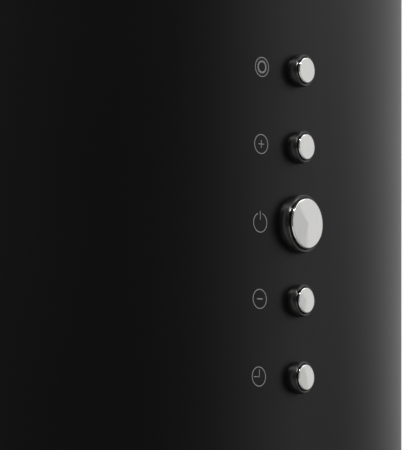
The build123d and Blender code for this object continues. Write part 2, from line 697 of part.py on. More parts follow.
def filter_handle():
    """A finger cup set into the mesh, with a grip edge along its front."""
    outline = RectangleRounded(
        CUP_LENGTH - 2 * MESH_GAP, CUP_WIDTH - 2 * MESH_GAP, CUP_CORNER - MESH_GAP
    )
    hollow = RectangleRounded(
        CUP_LENGTH - 2 * CUP_WALL, CUP_WIDTH - 2 * CUP_WALL, CUP_CORNER - CUP_WALL
    )
    depth = FILTER_THICK - FILTER_SHEET - MESH_GAP
    cup = extrude(outline, depth) - extrude(hollow, depth - CUP_WALL)
    grip_y = -CUP_WIDTH / 2 + CUP_WALL / 2
    half = CUP_LENGTH / 2 - CUP_WALL / 2
    cup += block((-half, half), (grip_y, grip_y + GRIP_WIDTH), (0, GRIP_THICK)) & extrude(
        outline, depth
    )
    return cup_place() * cup


def catch_keepers():
    keeper = disc(KEEPER_R, FILTER_TOP, FILTER_TOP + KEEPER_THICK)
    return group([at_azimuth(MAGNET_RADIUS, side * MAGNET_AZIMUTH) * keeper for side in (-1, 1)])


# ---- deck and struts ----
def deck_plate():
    face = (Pos(0, -AXIS_TO_WALL) * Circle(DECK_R)) & (
        Pos(0, -CHANNEL_DEPTH - FAR / 2) * Rectangle(FAR, FAR)
    )
    face -= Pos(0, OUTLET_Y) * Rectangle(OUTLET_WIDTH, OUTLET_DEPTH)
    face -= Pos(GLAND_X, GLAND_Y) * Circle(GLAND_R + GLAND_CLEARANCE)
    deck = Pos(0, 0, DECK_Z) * extrude(face, DECK_SHEET)
    tab_y = (-CHANNEL_DEPTH - DECK_SHEET, -CHANNEL_DEPTH)
    deck += block((-DECK_TAB_HALF, DECK_TAB_HALF), tab_y, (DECK_Z - DECK_TAB, DECK_Z))
    return deck


def side_struts():
    """Folded strips from the base plate up to the deck, one on each side."""
    web_x = DECK_R - STRUT_INSET
    depth_y = (-AXIS_TO_WALL - STRUT_WIDTH / 2, -AXIS_TO_WALL + STRUT_WIDTH / 2)
    web = block((web_x - STRUT_SHEET, web_x), depth_y, (BASE_TOP, DECK_Z))
    foot_x = (web_x - STRUT_FOOT, web_x)
    low = block(foot_x, depth_y, (BASE_TOP, BASE_TOP + STRUT_SHEET))
    high = block(foot_x, depth_y, (DECK_Z - STRUT_SHEET, DECK_Z))
    strut = web + low + high
    return group([strut, mirror(strut, Plane.YZ)])


# ---- blower ----
def spiral_face(top):
    """Inside outline of the scroll, by four quarter arcs round a small square of centres."""
    half = SCROLL_STEP / 2

    def on_arc(centre, radius, degrees):
        angle = radians(degrees)
        return (centre[0] + radius * cos(angle), centre[1] + radius * sin(angle))

    def arc(centre, radius, first, last):
        middle = (first + last) / 2
        return ThreePointArc(*(on_arc(centre, radius, d) for d in (first, middle, last)))

    edges = [
        arc((-half, half), TONGUE_R, TONGUE_ANGLE, 90),
        arc((-half, -half), SCROLL_START_R, 90, 180),
        arc((half, -half), SCROLL_START_R + SCROLL_STEP, 180, 270),
        arc((half, half), SCROLL_START_R + 2 * SCROLL_STEP, 270, 360),
        Line((SPIRAL_RIGHT, half), (SPIRAL_RIGHT, top)),
        Line((SPIRAL_RIGHT, top), (TONGUE_Y, top)),
        Line((TONGUE_Y, top), (TONGUE_Y, TONGUE_Z)),
    ]
    return make_face(edges)


def scroll_half():
    """The right half shell: a spiral wall, a side plate and the inlet's rounded mouth."""
    top = DECK_Z - FAN_Z
    inside = spiral_face(top + 2 * SCROLL_WALL)
    below_deck = Pos(0, top - FAR / 2) * Rectangle(FAR, FAR)
    outside = offset(inside, SCROLL_WALL) & below_deck
    shell = extrude(outside, SCROLL_HALF) - extrude(inside, SCROLL_HALF - SCROLL_WALL)
    mouth = turned(
        [
            (INLET_R, SCROLL_HALF - INLET_LIP),
            (INLET_R + SCROLL_WALL, SCROLL_HALF - INLET_LIP),
            (INLET_R + SCROLL_WALL, SCROLL_HALF - SCROLL_WALL),
            (INLET_R + INLET_LIP, SCROLL_HALF - SCROLL_WALL),
            (INLET_R + INLET_LIP, SCROLL_HALF),
            (INLET_R, SCROLL_HALF),
        ],
        [(5, INLET_EDGE)],
    )
    opening_r = INLET_R + INLET_LIP - INLET_BITE
    opening = disc(opening_r, SCROLL_HALF - 2 * SCROLL_WALL, SCROLL_HALF + SCROLL_WALL)
    return fan_plane() * (shell - opening + mouth)


def wheel_blades(sheet, half):
    """The wheel's forward-curved blades, set round the axis, each an arc of sheet."""

    def on_curve(radius, degrees):
        angle = radians(degrees)
        return (BLADE_IN_R + radius * sin(angle), BLADE_CURVE_R - radius * cos(angle))

    outer = BLADE_CURVE_R + (sheet - BLADE_SHEET) / 2
    inner = outer - sheet
    blade_face = make_face(
        [
            ThreePointArc(*(on_curve(outer, d) for d in (0, BLADE_SWEEP / 2, BLADE_SWEEP))),
            Line(on_curve(outer, BLADE_SWEEP), on_curve(inner, BLADE_SWEEP)),
            ThreePointArc(*(on_curve(inner, d) for d in (BLADE_SWEEP, BLADE_SWEEP / 2, 0))),
            Line(on_curve(inner, 0), on_curve(outer, 0)),
        ]
    )
    blade = extrude(blade_face, half, both=True)
    return [Rot(0, 0, number * 360 / BLADE_COUNT) * blade for number in range(BLADE_COUNT)]


def fan_wheel():
    """The wheel's centre: a disc whose rim slots hold the blades half way along, and its hub."""
    low = -WHEEL_DISC / 2
    wheel = disc(WHEEL_R - DISC_TO_RIM, low, -low)
    wheel -= wheel_blades(BLADE_SHEET + 2 * BLADE_SLOT_FIT, WHEEL_DISC)
    wheel += disc(WHEEL_HUB_R, low, low + WHEEL_HUB)
    return fan_plane() * (wheel - disc(SHAFT_R + SHAFT_FIT, low, low + WHEEL_HUB))


def fan_wheel_blades():
    return group([fan_plane() * blade for blade in wheel_blades(BLADE_SHEET, WHEEL_HALF)])


def fan_wheel_rings():
    """The end rings that the blades are clinched to."""
    inner_r = WHEEL_R - WHEEL_RING_WIDTH
    far = ring(WHEEL_R, inner_r, WHEEL_HALF, WHEEL_HALF + WHEEL_RING)
    near = ring(WHEEL_R, inner_r, -WHEEL_HALF - WHEEL_RING, -WHEEL_HALF)
    return group([fan_plane() * near, fan_plane() * far])


def motor_rear_x():
    return -SCROLL_HALF - GROMMET_HEIGHT


def motor_body():
    running = SHAFT_R + SHAFT_RUNNING
    front_x = MOTOR_FRONT_X + MOTOR_FRONT_BOSS
    points = [
        (BEARING_R, motor_rear_x()),
        (MOTOR_REAR_BOSS_R, motor_rear_x()),
        (MOTOR_REAR_BOSS_R, MOTOR_BACK_X),
        (MOTOR_R, MOTOR_BACK_X),
        (MOTOR_R, MOTOR_FRONT_X),
        (MOTOR_FRONT_BOSS_R, MOTOR_FRONT_X),
        (MOTOR_FRONT_BOSS_R, front_x),
        (BEARING_R, front_x),
        (BEARING_R, front_x - BEARING_WIDTH),
        (running, front_x - BEARING_WIDTH),
        (running, motor_rear_x() + BEARING_WIDTH),
        (BEARING_R, motor_rear_x() + BEARING_WIDTH),
    ]
    return fan_plane() * turned(points, [(3, MOTOR_EDGE), (4, MOTOR_EDGE)])


def motor_bearings():
    running = SHAFT_R + SHAFT_RUNNING
    front_x = MOTOR_FRONT_X + MOTOR_FRONT_BOSS
    rear = ring(BEARING_R, running, motor_rear_x(), motor_rear_x() + BEARING_WIDTH)
    fore = ring(BEARING_R, running, front_x - BEARING_WIDTH, front_x)
    return group([fan_plane() * rear, fan_plane() * fore])


def motor_shaft():
    return fan_plane() * disc(SHAFT_R, motor_rear_x() + SHAFT_INSET, WHEEL_HUB - WHEEL_DISC / 2)


def arm_turns():
    """The turns that bring a piece on the X axis to each of the bracket's arms; one points up."""
    return [Rot(0, 0, 90 + number * 360 / BRACKET_ARMS) for number in range(BRACKET_ARMS)]


def motor_bracket():
    """Three-armed spider across the inlet, which carries the motor by its rear boss."""
    low = motor_rear_x() - BRACKET_ARM_SHEET
    high = motor_rear_x()
    spider = disc(BRACKET_HUB_R, low, high)
    half = BRACKET_ARM_WIDTH / 2
    for turn in arm_turns():
        spider += turn * block((0, BRACKET_ARM_R), (-half, half), (low, high))
    return fan_plane() * spider


def motor_grommets():
    rubber = Pos(BRACKET_BOLT_R, 0, 0) * disc(GROMMET_R, motor_rear_x(), -SCROLL_HALF)
    return group([fan_plane() * turn * rubber for turn in arm_turns()])


# ---- outlet collar and flaps ----
def outlet_collar():
    """Moulding on the deck: the square duct turns round, then a spigot with a seat for the flaps."""

    def duct(grow):
        low = Plane(origin=(0, OUTLET_Y, DECK_TOP)) * RectangleRounded(
            OUTLET_WIDTH + 2 * grow, OUTLET_DEPTH + 2 * grow, DUCT_CORNER + grow
        )
        high = Plane(origin=(0, SPIGOT_Y, SPIGOT_Z)) * Circle(SPIGOT_R - SPIGOT_WALL + grow)
        return loft([low, high])

    flange = Pos(0, OUTLET_Y, DECK_TOP) * extrude(
        RectangleRounded(
            OUTLET_WIDTH + 2 * ADAPTOR_FLANGE, OUTLET_DEPTH + 2 * ADAPTOR_FLANGE, ADAPTOR_FLANGE
        ),
        SPIGOT_WALL,
    )
    spigot = disc(SPIGOT_R, SPIGOT_Z, SPIGOT_Z + SPIGOT_LENGTH)
    bore = disc(SPIGOT_R - SPIGOT_WALL, SPIGOT_Z, SPIGOT_Z + 2 * SPIGOT_LENGTH)
    centre = Pos(0, SPIGOT_Y, 0)
    hollow = duct(0) + centre * bore
    collar = flange + duct(SPIGOT_WALL) + centre * spigot - hollow
    seat_r = SPIGOT_R - SPIGOT_WALL
    collar += centre * ring(seat_r + SEAT_BITE, seat_r - SEAT_WIDTH, SEAT_Z, SEAT_Z + SEAT_HEIGHT)
    return collar - flap_axis() * disc(FLAP_PIN_R + SHAFT_FIT, -2 * SPIGOT_R, 2 * SPIGOT_R)


def flap_axis():
    return Plane(origin=(0, SPIGOT_Y, FLAP_AXIS_Z), x_dir=(0, 1, 0), z_dir=(1, 0, 0))


def damper_flap(front_side):
    """A half disc with two knuckles; the two flaps' knuckles alternate along one pin."""
    direction = -1 if front_side else 1
    half_plane = Pos(0, direction * (FLAP_ROOT + FAR / 2)) * Rectangle(FAR, FAR)
    flap = Pos(0, SPIGOT_Y, FLAP_Z) * extrude(Circle(FLAP_R) & half_plane, FLAP_SHEET)
    step = FLAP_KNUCKLE + FLAP_KNUCKLE_GAP
    middles = (-1.5 * step, 0.5 * step) if front_side else (-0.5 * step, 1.5 * step)
    for middle in middles:
        low = middle - FLAP_KNUCKLE / 2
        high = middle + FLAP_KNUCKLE / 2
        reach = sorted((SPIGOT_Y, SPIGOT_Y + direction * (FLAP_ROOT + FLAP_SHEET)))
        flap += block((low, high), reach, (FLAP_Z, FLAP_Z + FLAP_SHEET))
        flap += flap_axis() * disc(FLAP_KNUCKLE_R, low, high)
    return flap - flap_axis() * disc(FLAP_PIN_R + FLAP_RUNNING, -SPIGOT_R, SPIGOT_R)


def damper_pin():
    return flap_axis() * disc(FLAP_PIN_R, -SPIGOT_R + FLAP_PIN_INSET, SPIGOT_R - FLAP_PIN_INSET)


# ---- electrics ----
def electronics_box():
    centre = Pos(BOX_X, -AXIS_TO_WALL, DECK_Z - BOX_HEIGHT)
    walls = extrude(Rectangle(BOX_WIDTH, BOX_LENGTH), BOX_HEIGHT)
    inside = Rectangle(BOX_WIDTH - 2 * BOX_SHEET, BOX_LENGTH - 2 * BOX_SHEET)
    return centre * (walls - extrude(inside, BOX_HEIGHT - BOX_SHEET))


def electronics_lid():
    plate = extrude(Rectangle(BOX_WIDTH, BOX_LENGTH), -BOX_SHEET)
    outer = BOX_SHEET + LID_PLAY
    inner = outer + BOX_SHEET
    rim = extrude(
        Rectangle(BOX_WIDTH - 2 * outer, BOX_LENGTH - 2 * outer)
        - Rectangle(BOX_WIDTH - 2 * inner, BOX_LENGTH - 2 * inner),
        LID_RIM,
    )
    return Pos(BOX_X, -AXIS_TO_WALL, DECK_Z - BOX_HEIGHT) * (plate + rim)


def power_board():
    """Board on four posts under the box's top, with its transformer, relays and terminal block."""
    width = BOX_WIDTH - 2 * BOX_SHEET - 2 * POWER_BOARD_MARGIN
    length = BOX_LENGTH - 2 * BOX_SHEET - 2 * POWER_BOARD_MARGIN
    board = extrude(Rectangle(width, length), -BOARD_SHEET)
    for size, (x, y) in POWER_COMPONENTS:
        board += Pos(x, y, -BOARD_SHEET - size[2] / 2) * Box(*size)
    post = disc(BOARD_POST_R, 0, POWER_BOARD_DROP - BOX_SHEET)
    for x in (BOARD_POST_INSET - width / 2, width / 2 - BOARD_POST_INSET):
        for y in (BOARD_POST_INSET - length / 2, length / 2 - BOARD_POST_INSET):
            board += Pos(x, y, 0) * post
    return Pos(BOX_X, -AXIS_TO_WALL, DECK_Z - POWER_BOARD_DROP) * board


def capacitor():
    top = DECK_Z - CAPACITOR_STUD
    points = [
        (0, top - CAPACITOR_LENGTH),
        (CAPACITOR_R, top - CAPACITOR_LENGTH),
        (CAPACITOR_R, top),
        (CAPACITOR_STUD_R, top),
        (CAPACITOR_STUD_R, DECK_Z),
        (0, DECK_Z),
    ]
    return Pos(CAPACITOR_X, -AXIS_TO_WALL, 0) * turned(points, [(1, CAPACITOR_EDGE), (2, CAPACITOR_EDGE)])


def cable_gland():
    hexagon = RegularPolygon(GLAND_HEX / 2, 6, major_radius=False)
    head = Pos(0, 0, DECK_TOP) * extrude(hexagon, GLAND_HEAD)
    head_top = DECK_TOP + GLAND_HEAD
    top = head_top + GLAND_DOME
    dome = turned([(0, head_top), (GLAND_R, head_top), (GLAND_R - GLAND_TAPER, top), (0, top)])
    nut_low = DECK_Z - GLAND_NUT
    bottom = nut_low - GLAND_THREAD
    nut = Pos(0, 0, nut_low) * extrude(hexagon, GLAND_NUT)
    gland = head + dome + nut + disc(GLAND_R, bottom, DECK_TOP)
    return Pos(GLAND_X, GLAND_Y, 0) * (gland - disc(GLAND_BORE_R, bottom, top))


# ---- controls ----
def button_z(number):
    return CONTROLS_Z + (number - POWER_INDEX) * BUTTON_PITCH


def button_plane(number):
    return front(button_z(number))


def face_r(number):
    return POWER_FACE_R if number == POWER_INDEX else CAP_FACE_R


def cap_out(number):
    return POWER_OUT if number == POWER_INDEX else CAP_OUT


def collar_wall(number):
    return POWER_COLLAR_WALL if number == POWER_INDEX else COLLAR_WALL


def cap_r(number):
    return face_r(number) + CAP_ROUND


def barrel_r(number):
    return cap_r(number) + CAP_GAP + collar_wall(number) - COLLAR_PLAY


def button_cap(number):
    """Turned metal cup with a rounded edge and a face that rises a little to its middle."""
    radius = cap_r(number)
    top = cap_out(number)
    inner = radius - CAP_WALL
    rise = POWER_RISE if number == POWER_INDEX else CAP_RISE
    profile = make_face(
        Polyline(
            (inner, -CAP_SKIRT),
            (radius, -CAP_SKIRT),
            (radius, top),
            (0, top + rise),
            (0, top - CAP_TOP),
            (inner, top - CAP_TOP),
            close=True,
        )
    )
    profile = fillet(corner_at(profile, (radius, top)), CAP_ROUND)
    return button_plane(number) * revolve(Plane.XZ * profile, Axis.Z)


def button_stem(number):
    """Plunger pressed into the cap; its stop flange pulls up behind the collar."""
    head_r = cap_r(number) - CAP_WALL - STEM_HEAD_FIT
    stop_low = -STEM_STOP_DEPTH - STEM_STOP
    points = [
        (0, cap_out(number) - CAP_TOP),
        (head_r, cap_out(number) - CAP_TOP),
        (head_r, -CAP_SKIRT),
        (STEM_R, -CAP_SKIRT),
        (STEM_R, -STEM_STOP_DEPTH),
        (STEM_STOP_R, -STEM_STOP_DEPTH),
        (STEM_STOP_R, stop_low),
        (STEM_TAIL_R, stop_low),
        (STEM_TAIL_R, -STEM_END),
        (0, -STEM_END),
    ]
    return button_plane(number) * turned(points)


def button_collar(number):
    """Bush through the cover; its flange curves in towards the cook and sits on the cover's curve."""
    bore = cap_r(number) + CAP_GAP
    front_r = bore + collar_wall(number)
    base_r = front_r + COLLAR_FLARE
    profile = make_face(
        [
            Line((bore, -COLLAR_BELOW), (base_r, -COLLAR_BELOW)),
            Line((base_r, -COLLAR_BELOW), (base_r, COLLAR_STEP)),
            TangentArc((base_r, COLLAR_STEP), (front_r, COLLAR_OUT), tangent=(0, 1)),
            Line((front_r, COLLAR_OUT), (bore, COLLAR_OUT)),
            Line((bore, COLLAR_OUT), (bore, -COLLAR_BELOW)),
        ]
    )
    profile = chamfer(corner_at(profile, (front_r, COLLAR_OUT)), COLLAR_EDGE)
    flange = revolve(Plane.XZ * profile, Axis.Z)
    body = Pos(0, -AXIS_TO_WALL, -FAR / 2) * extrude(Circle(HOOD_R + SEAT_GAP), 2 * FAR)
    flange = button_plane(number) * flange - body
    barrel = disc(barrel_r(number), -COLLAR_DEPTH, COLLAR_STEP)
    barrel -= disc(bore, -COLLAR_FLOOR, COLLAR_STEP)
    barrel -= disc(STEM_R + STEM_RUNNING, -COLLAR_DEPTH, 0)
    return flange + button_plane(number) * barrel


def nut_r(number):
    return barrel_r(number) + NUT_WALL


def collar_nuts():
    nuts = []
    for number in range(len(BUTTON_NAMES)):
        hexagon = RegularPolygon(nut_r(number), 6, major_radius=False)
        face = hexagon - Circle(barrel_r(number) + SHAFT_FIT)
        nut = Pos(0, 0, -HOLDER_BACK - NUT_HEIGHT) * extrude(face, NUT_HEIGHT)
        nuts.append(button_plane(number) * nut)
    return group(nuts)


def controls_half():
    return POWER_INDEX * BUTTON_PITCH + HOLDER_MARGIN


def post_places():
    z = POWER_INDEX * BUTTON_PITCH + HOLDER_POST_Z
    return [Pos(x, y, 0) for x in (-HOLDER_POST_X, HOLDER_POST_X) for y in (-z, z)]


def control_holder():
    """Plate behind the cover that the collars clamp, with posts for the board."""
    face = RectangleRounded(HOLDER_WIDTH, 2 * controls_half(), HOLDER_CORNER)
    for number in range(len(BUTTON_NAMES)):
        height = button_z(number) - CONTROLS_Z
        face -= Pos(0, height) * Circle(barrel_r(number) + COLLAR_PLAY)
    holder = Pos(0, 0, -HOLDER_BACK) * extrude(face, HOLDER_SHEET)
    for place in post_places():
        holder += place * disc(HOLDER_POST_R, -SWITCH_BACK, -HOLDER_BACK)
    return front(CONTROLS_Z) * holder


def control_board():
    width = HOLDER_WIDTH - 2 * BOARD_INSET
    length = 2 * (controls_half() - BOARD_INSET)
    back = -SWITCH_BACK - BOARD_SHEET
    board = extrude(RectangleRounded(width, length, HOLDER_CORNER - BOARD_INSET), BOARD_SHEET)
    board += Pos(0, controls_half() - CONNECTOR_TO_EDGE, -CONNECTOR[2] / 2) * Box(*CONNECTOR)
    return front(CONTROLS_Z) * Pos(0, 0, back) * board


def key_switches():
    body = block(
        (-SWITCH_SIDE / 2, SWITCH_SIDE / 2),
        (-SWITCH_SIDE / 2, SWITCH_SIDE / 2),
        (-SWITCH_BACK, -SWITCH_DEPTH),
    )
    switch = body + disc(SWITCH_NUB_R, -SWITCH_DEPTH, -SWITCH_DEPTH + SWITCH_NUB)
    return group([button_plane(number) * switch for number in range(len(BUTTON_NAMES))])


def button_springs():
    """Sleeves of each return spring's outer shape, from the switch to the stem's stop."""
    top = -STEM_STOP_DEPTH - STEM_STOP
    sleeve = ring(SPRING_R, SPRING_R - SPRING_WIRE, -SWITCH_DEPTH, top)
    return group([button_plane(number) * sleeve for number in range(len(BUTTON_NAMES))])


# ---- every piece by its name ----
def pieces():
    made = {
        "outer_cover": outer_cover(),
        "upper_chimney": upper_chimney(),
        "chimney_bracket": chimney_bracket(),
        "chimney_screws": chimney_screws(),
        "back_channel": back_channel(),
        "wall_bracket": wall_bracket(),
        "cover_clips": cover_clips(),
        "base_plate": base_plate(),
        "catch_magnets": catch_magnets(),
        "filter_hinge_brackets": hinge_brackets(),
        "filter_hinge_pins": hinge_pins(),
        "filter_frame": filter_frame(),
        "filter_mesh": filter_mesh(),
        "filter_handle": filter_handle(),
        "catch_keepers": catch_keepers(),
        "deck_plate": deck_plate(),
        "side_struts": side_struts(),
        "fan_wheel": fan_wheel(),
        "fan_wheel_blades": fan_wheel_blades(),
        "fan_wheel_rings": fan_wheel_rings(),
        "motor_body": motor_body(),
        "motor_bearings": motor_bearings(),
        "motor_shaft": motor_shaft(),
        "motor_bracket": motor_bracket(),
        "motor_grommets": motor_grommets(),
        "outlet_collar": outlet_collar(),
        "damper_flap_front": damper_flap(True),
        "damper_flap_rear": damper_flap(False),
        "damper_pin": damper_pin(),
        "electronics_box": electronics_box(),
        "electronics_lid": electronics_lid(),
        "power_board": power_board(),
        "capacitor": capacitor(),
        "cable_gland": cable_gland(),
        "control_holder": control_holder(),
        "control_board": control_board(),
        "key_switches": key_switches(),
        "button_springs": button_springs(),
        "collar_nuts": collar_nuts(),
    }
    right = scroll_half()
    made["scroll_right"] = right
    made["scroll_left"] = mirror(right, Plane.YZ)
    for side, word in ((-1, "left"), (1, "right")):
        made["lamp_bezel_" + word] = lamp_place(side) * lamp_bezel()
        made["lamp_lens_" + word] = lamp_place(side) * lamp_lens()
        made["lamp_heatsink_" + word] = lamp_place(side) * lamp_heatsink()
    small = [n for n in range(len(BUTTON_NAMES)) if n != POWER_INDEX]
    made["small_collars"] = group([button_collar(number) for number in small])
    made["power_collar"] = button_collar(POWER_INDEX)
    for number, word in enumerate(BUTTON_NAMES):
        made["cap_" + word] = button_cap(number)
        made["stem_" + word] = button_stem(number)
    return made


os.makedirs("parts", exist_ok=True)
for name, shape in pieces().items():
    export_step(shape, "parts/" + name + ".step")
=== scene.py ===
import json
from math import cos, pi, radians, sin

import bmesh
import bpy
from mathutils import Matrix, Vector


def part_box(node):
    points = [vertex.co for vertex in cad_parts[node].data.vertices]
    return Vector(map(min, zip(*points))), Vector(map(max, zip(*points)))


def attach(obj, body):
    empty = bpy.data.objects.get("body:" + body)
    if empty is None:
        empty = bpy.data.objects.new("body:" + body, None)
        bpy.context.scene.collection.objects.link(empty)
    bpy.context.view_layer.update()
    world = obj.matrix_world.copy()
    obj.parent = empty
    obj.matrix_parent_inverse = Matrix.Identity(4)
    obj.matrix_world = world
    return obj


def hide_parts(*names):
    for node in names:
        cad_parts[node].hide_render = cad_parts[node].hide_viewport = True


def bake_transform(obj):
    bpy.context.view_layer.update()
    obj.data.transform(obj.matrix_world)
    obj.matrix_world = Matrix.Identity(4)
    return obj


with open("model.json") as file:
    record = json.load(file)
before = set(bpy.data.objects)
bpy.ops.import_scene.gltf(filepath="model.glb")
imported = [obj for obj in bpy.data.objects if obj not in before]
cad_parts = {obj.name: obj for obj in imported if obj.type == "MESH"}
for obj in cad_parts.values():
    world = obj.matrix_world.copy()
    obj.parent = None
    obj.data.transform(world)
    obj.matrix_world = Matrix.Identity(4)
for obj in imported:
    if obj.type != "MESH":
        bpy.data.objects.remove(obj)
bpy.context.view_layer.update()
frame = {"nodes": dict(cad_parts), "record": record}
NODES = frame["nodes"]
MM = 0.001

# ---- places and sizes read from the frame ----
COVER_LOW, COVER_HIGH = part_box("outer_cover")
HOOD_R = (COVER_HIGH.x - COVER_LOW.x) / 2
AXIS_Y = COVER_LOW.y + HOOD_R
BUTTONS = ["light", "plus", "power", "minus", "timer"]  # from the top down
COLLARS = {"power_collar": ["power"], "small_collars": ["light", "plus", "minus", "timer"]}


def middle(node):
    low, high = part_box(node)
    return (low + high) / 2


BUTTON_Z = {name: middle("cap_" + name).z for name in BUTTONS}

# ---- camera, from the fit to the photograph ----
CAMERA_DISTANCE = 2.0665  # from the hood's axis
CAMERA_AZIMUTH = radians(-48.66)  # from the hood's front, towards the left
CAMERA_BELOW = 0.1412  # below the power button
CAMERA_YAW = radians(-3.114)
CAMERA_PITCH = radians(4.131)
CAMERA_ROLL = radians(-0.167)
FOCAL_PIXELS = 5669.0
PHOTO_HEIGHT = 450
SENSOR = 36.0
CLIP_START = 0.01
CLIP_END = 100

# ---- signs on the cover ----
SIGN_AZIMUTH = radians(-6.20)  # to the left of the buttons
SIGN_RADIUS = 3.28 * MM
SIGN_LINE = 0.27 * MM
SIGN_BOLD = 0.38 * MM
# The signs aren't quite in line: how far, in mm, each is right of and below its place.
SIGN_RIGHT = {"light": 0.8, "plus": 0.5, "power": 0.1, "minus": -0.05, "timer": -0.4}
SIGN_DROP = {"light": 0.08, "plus": 0.12, "power": 0.62, "minus": 0.27, "timer": 0.34}
LAMP_R = 1.83 * MM
LAMP_RAYS = 24
LAMP_RAY_ENDS = (1.9 * MM, 2.4 * MM)
LAMP_RAY_WIDTH = 0.2 * MM
STROKE_HALF = 1.4 * MM  # of the plus and of the minus
POWER_GAP = 20  # degrees on each side of the power sign's bar
POWER_BAR_ENDS = (1.0 * MM, 4.05 * MM)
TIMER_HAND = 2.4 * MM
TIMER_CORNER = (0.2 * MM, -0.1 * MM)
INK = 0.02 * MM  # how far the ink stands out of the cover

# ---- turned caps and collars, and the springs ----
CAP_EDGE = {name: 0.50 * MM if name == "power" else 0.40 * MM for name in BUTTONS}
CAP_SINK = {name: 0.3 * MM if name == "power" else 0 for name in BUTTONS}  # as photographed
CAP_WALL = 0.8 * MM
CAP_TOP = 1.2 * MM
CAP_RISE = {name: 0.20 * MM if name == "power" else 0.04 * MM for name in BUTTONS}
CAP_TIP = 0.1 * MM  # the face's cone is blunt inside this radius
CAP_GAP = 0.15 * MM
COLLAR_WALL = {name: 1.10 * MM if name == "power" else 0.90 * MM for name in BUTTONS}
COLLAR_TAPER = 0.28 * MM
COLLAR_SINK = 0.3 * MM  # the front edge lies this much lower than the CAD's, as photographed
COLLAR_STEP = 0.2 * MM
COLLAR_EDGE = 0.25 * MM
COLLAR_LIP = 0.1 * MM
# The barrel is the CAD's, which fits the cover's hole and the nut.
BARREL_WALL = {name: 0.78 * MM if name == "power" else 0.58 * MM for name in BUTTONS}
COLLAR_FLOOR = 2.0 * MM  # how far the bore reaches behind the cover's front
STEM_HOLE_R = 2.08 * MM
SPRING_WIRE = 0.6 * MM
SPRING_TURNS = 9
CLOSED_PITCH = 1.1  # of an end turn, in wire diameters
CREASE = 0.02 * MM  # width of the strip that keeps a shaded edge crisp
CREASE_ANGLE = radians(50)

# ---- finishes ----
NOISE_ROUGHNESS = 0.55
RAMP_LOW, RAMP_HIGH = 0.35, 0.65  # where noise turns from the dark colour to the light one
CAP_ROUGHNESS = 0.05
LINE_STRETCH = (1, 1, 40)  # rolled sheet's lines run across z
MOULD_GRAIN = 900
ROUGHNESS_SPAN = {"sheet": 0.06, "mould": 0.05}


# ---- mesh helpers ----
def mesh_object(name, verts, faces, smooth=True):
    mesh = bpy.data.meshes.new(name)
    mesh.from_pydata([tuple(v) for v in verts], [], faces)
    mesh.validate()
    mesh.update()
    work = bmesh.new()
    work.from_mesh(mesh)
    bmesh.ops.recalc_face_normals(work, faces=work.faces)
    work.to_mesh(mesh)
    work.free()
    for polygon in mesh.polygons:
        polygon.use_smooth = smooth
    obj = bpy.data.objects.new(name, mesh)
    bpy.context.scene.collection.objects.link(obj)
    return obj


def on_cover(u, v, name, out):
    """A point of the cover's front, u to the right and v up from a sign's centre."""
    angle = SIGN_AZIMUTH + (u + SIGN_RIGHT[name] * MM) / HOOD_R
    radius = HOOD_R + out
    z = BUTTON_Z[name] - SIGN_DROP[name] * MM + v
    return Vector((radius * sin(angle), AXIS_Y - radius * cos(angle), z))


def ribbon(path, width, closed):
    """The two edges of a line of ink along a path of (u, v) points."""
    left, right = [], []
    count = len(path)
    for i, point in enumerate(path):
        before = path[i - 1] if closed or i > 0 else point
        after = path[(i + 1) % count] if closed or i < count - 1 else point
        along = (Vector(after) - Vector(before)).normalized()
        side = Vector((-along.y, along.x)) * (width / 2)
        left.append(Vector(point) + side)
        right.append(Vector(point) - side)
    return left, right


def ink(strokes, name):
    """Thin raised lines on the cover; a stroke is (points, width, closed)."""
    verts, faces = [], []
    for path, width, closed in strokes:
        left, right = ribbon(path, width, closed)
        base = len(verts)
        count = len(path)
        for a, b in zip(left, right):
            for point, out in ((a, INK), (b, INK), (b, -INK), (a, -INK)):
                verts.append(on_cover(point.x, point.y, name, out))
        steps = count if closed else count - 1
        for i in range(steps):
            j = (i + 1) % count
            for k in range(4):
                m = (k + 1) % 4
                faces.append(
                    (base + 4 * i + k, base + 4 * i + m, base + 4 * j + m, base + 4 * j + k)
                )
        if not closed:
            faces.append(tuple(base + k for k in range(4)))
            faces.append(tuple(base + 4 * (count - 1) + k for k in range(3, -1, -1)))
    return verts, faces


def arc(radius, first, last, steps):
    """Points from one clock angle to another, in degrees from the top."""
    turns = [radians(first + (last - first) * i / steps) for i in range(steps + 1)]
    return [(radius * sin(t), radius * cos(t)) for t in turns]


def circle(radius, steps=72):
    return arc(radius, 0, 360, steps)[:-1]


# ---- material helpers ----
def material(name):
    made = bpy.data.materials.new(name)
    made.use_nodes = True
    tree = made.node_tree
    shader = tree.nodes["Principled BSDF"]
    return made, tree, shader


def node(tree, kind, values=None, **options):
    made = tree.nodes.new(kind)
    for key, value in options.items():
        setattr(made, key, value)
    for key, value in (values or {}).items():
        made.inputs[key].default_value = value
    return made


def link(tree, source, output, target, socket):
    tree.links.new(source.outputs[output], target.inputs[socket])


def noise(tree, scale, detail=3.0, stretch=(1, 1, 1)):
    place = node(tree, "ShaderNodeTexCoord")
    mapping = node(tree, "ShaderNodeMapping", {"Scale": stretch})
    values = {"Scale": scale, "Detail": detail, "Roughness": NOISE_ROUGHNESS}
    made = node(tree, "ShaderNodeTexNoise", values)
    link(tree, place, "Object", mapping, "Vector")
    link(tree, mapping, "Vector", made, "Vector")
    return made


def vary_colour(tree, shader, source, output, dark, light):
    ramp = node(tree, "ShaderNodeValToRGB")
    ramp.color_ramp.elements[0].position = RAMP_LOW
    ramp.color_ramp.elements[0].color = (*dark, 1)
    ramp.color_ramp.elements[1].position = RAMP_HIGH
    ramp.color_ramp.elements[1].color = (*light, 1)
    link(tree, source, output, ramp, "Fac")
    link(tree, ramp, "Color", shader, "Base Color")


